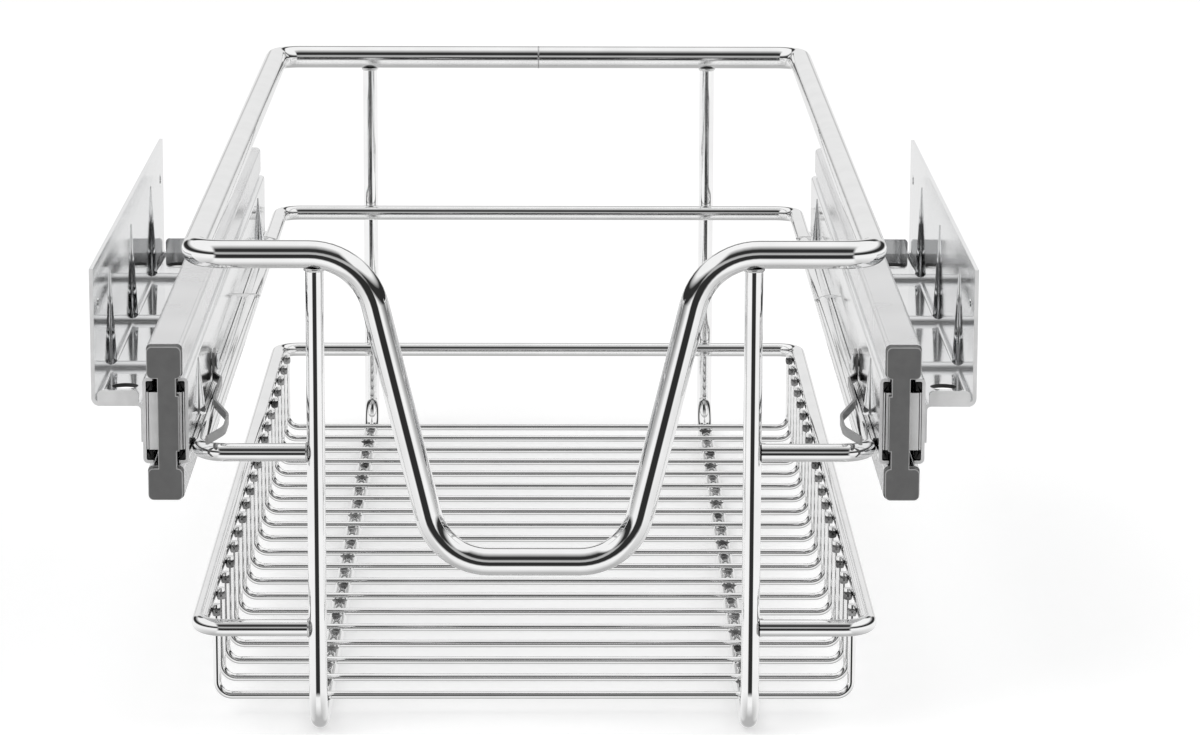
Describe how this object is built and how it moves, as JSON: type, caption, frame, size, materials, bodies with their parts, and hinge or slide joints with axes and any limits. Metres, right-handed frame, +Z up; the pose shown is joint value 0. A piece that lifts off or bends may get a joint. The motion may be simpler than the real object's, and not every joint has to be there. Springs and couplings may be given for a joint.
{
  "type": "pull-out cabinet basket",
  "caption": "Chromed wire pull-out basket with a dipped front handle, hung between two full-extension ball slides on sheet-metal side brackets for a base cabinet.",
  "frame": {"origin": "Middle of the whole unit's footprint, at the level of the basket's lowest wires.", "axes": "+X to the unit's right seen from the front, +Y into the cabinet, +Z up. The basket pulls out along -Y."},
  "size_m": [0.264, 0.4372, 0.1522],
  "materials": {
    "chrome_wire": "polished",
    "zinc_plated_sheet": "satin",
    "slide_profile": "satin",
    "grey_plastic": "matte",
    "black_plastic": "matte",
    "steel_balls": "polished",
    "rivets": "satin",
    "spring_steel": "polished"
  },
  "bodies": {
    "cabinet_mounts": {"bracket_rivets": "rivets", "left_side_bracket": "zinc_plated_sheet", "left_cabinet_member": "zinc_plated_sheet", "left_outer_stop": "black_plastic", "right_side_bracket": "zinc_plated_sheet", "right_cabinet_member": "zinc_plated_sheet", "right_outer_stop": "black_plastic"},
    "basket": {"top_loop": "chrome_wire", "middle_loop": "chrome_wire", "tray_rim": "chrome_wire", "left_support_wire": "chrome_wire", "right_support_wire": "chrome_wire", "cross_wire_01": "chrome_wire", "cross_wire_02": "chrome_wire", "cross_wire_03": "chrome_wire", "cross_wire_04": "chrome_wire", "cross_wire_05": "chrome_wire", "cross_wire_06": "chrome_wire", "cross_wire_07": "chrome_wire", "cross_wire_08": "chrome_wire", "cross_wire_09": "chrome_wire", "cross_wire_10": "chrome_wire", "cross_wire_11": "chrome_wire", "cross_wire_12": "chrome_wire", "cross_wire_13": "chrome_wire", "cross_wire_14": "chrome_wire", "cross_wire_15": "chrome_wire", "cross_wire_16": "chrome_wire", "cross_wire_17": "chrome_wire", "cross_wire_18": "chrome_wire", "cross_wire_19": "chrome_wire", "cross_wire_20": "chrome_wire", "lever_rivets": "rivets", "left_drawer_member": "zinc_plated_sheet", "left_inner_stop": "black_plastic", "right_drawer_member": "zinc_plated_sheet", "right_inner_stop": "black_plastic"},
    "left_middle": {"left_middle_profile": "slide_profile", "left_outer_rail": "zinc_plated_sheet", "left_inner_rail": "zinc_plated_sheet", "left_rail_rivets": "rivets", "left_front_end_cap": "grey_plastic", "left_rear_end_cap": "grey_plastic"},
    "left_outer_cage": {"left_outer_ball_cage": "black_plastic", "left_outer_balls": "steel_balls"},
    "left_inner_cage": {"left_inner_ball_cage": "black_plastic", "left_inner_balls": "steel_balls"},
    "left_lever": {"left_release_lever": "spring_steel"},
    "right_middle": {"right_middle_profile": "slide_profile", "right_outer_rail": "zinc_plated_sheet", "right_inner_rail": "zinc_plated_sheet", "right_rail_rivets": "rivets", "right_front_end_cap": "grey_plastic", "right_rear_end_cap": "grey_plastic"},
    "right_outer_cage": {"right_outer_ball_cage": "black_plastic", "right_outer_balls": "steel_balls"},
    "right_inner_cage": {"right_inner_ball_cage": "black_plastic", "right_inner_balls": "steel_balls"},
    "right_lever": {"right_release_lever": "spring_steel"}
  },
  "joints": [
    {"name": "basket_slide", "type": "slide", "parent": "cabinet_mounts", "child": "basket", "axis": [0, -1, 0], "range_m": [0, 0.33]},
    {"name": "left_middle_slide", "type": "slide", "parent": "cabinet_mounts", "child": "left_middle", "axis": [0, -1, 0], "range_m": [0, 0.165]},
    {"name": "left_outer_cage_slide", "type": "slide", "parent": "cabinet_mounts", "child": "left_outer_cage", "axis": [0, -1, 0], "range_m": [0, 0.0825]},
    {"name": "left_inner_cage_slide", "type": "slide", "parent": "left_middle", "child": "left_inner_cage", "axis": [0, -1, 0], "range_m": [0, 0.0825]},
    {"name": "left_lever_hinge", "type": "hinge", "parent": "basket", "child": "left_lever", "pos_m": [-0.1018, -0.1186, 0.0967], "axis": [-1, 0, 0], "range_deg": [0, 6], "stiffness_Nm_per_rad": 0.05},
    {"name": "right_middle_slide", "type": "slide", "parent": "cabinet_mounts", "child": "right_middle", "axis": [0, -1, 0], "range_m": [0, 0.165]},
    {"name": "right_outer_cage_slide", "type": "slide", "parent": "cabinet_mounts", "child": "right_outer_cage", "axis": [0, -1, 0], "range_m": [0, 0.0825]},
    {"name": "right_inner_cage_slide", "type": "slide", "parent": "right_middle", "child": "right_inner_cage", "axis": [0, -1, 0], "range_m": [0, 0.0825]},
    {"name": "right_lever_hinge", "type": "hinge", "parent": "basket", "child": "right_lever", "pos_m": [0.1018, -0.1186, 0.0967], "axis": [-1, 0, 0], "range_deg": [0, 6], "stiffness_Nm_per_rad": 0.05}
  ],
  "couplings": [
    {"joint": "left_middle_slide", "follows": "basket_slide", "ratio": 0.5},
    {"joint": "left_outer_cage_slide", "follows": "basket_slide", "ratio": 0.25},
    {"joint": "left_inner_cage_slide", "follows": "basket_slide", "ratio": 0.25},
    {"joint": "right_middle_slide", "follows": "basket_slide", "ratio": 0.5},
    {"joint": "right_outer_cage_slide", "follows": "basket_slide", "ratio": 0.25},
    {"joint": "right_inner_cage_slide", "follows": "basket_slide", "ratio": 0.25}
  ]
}
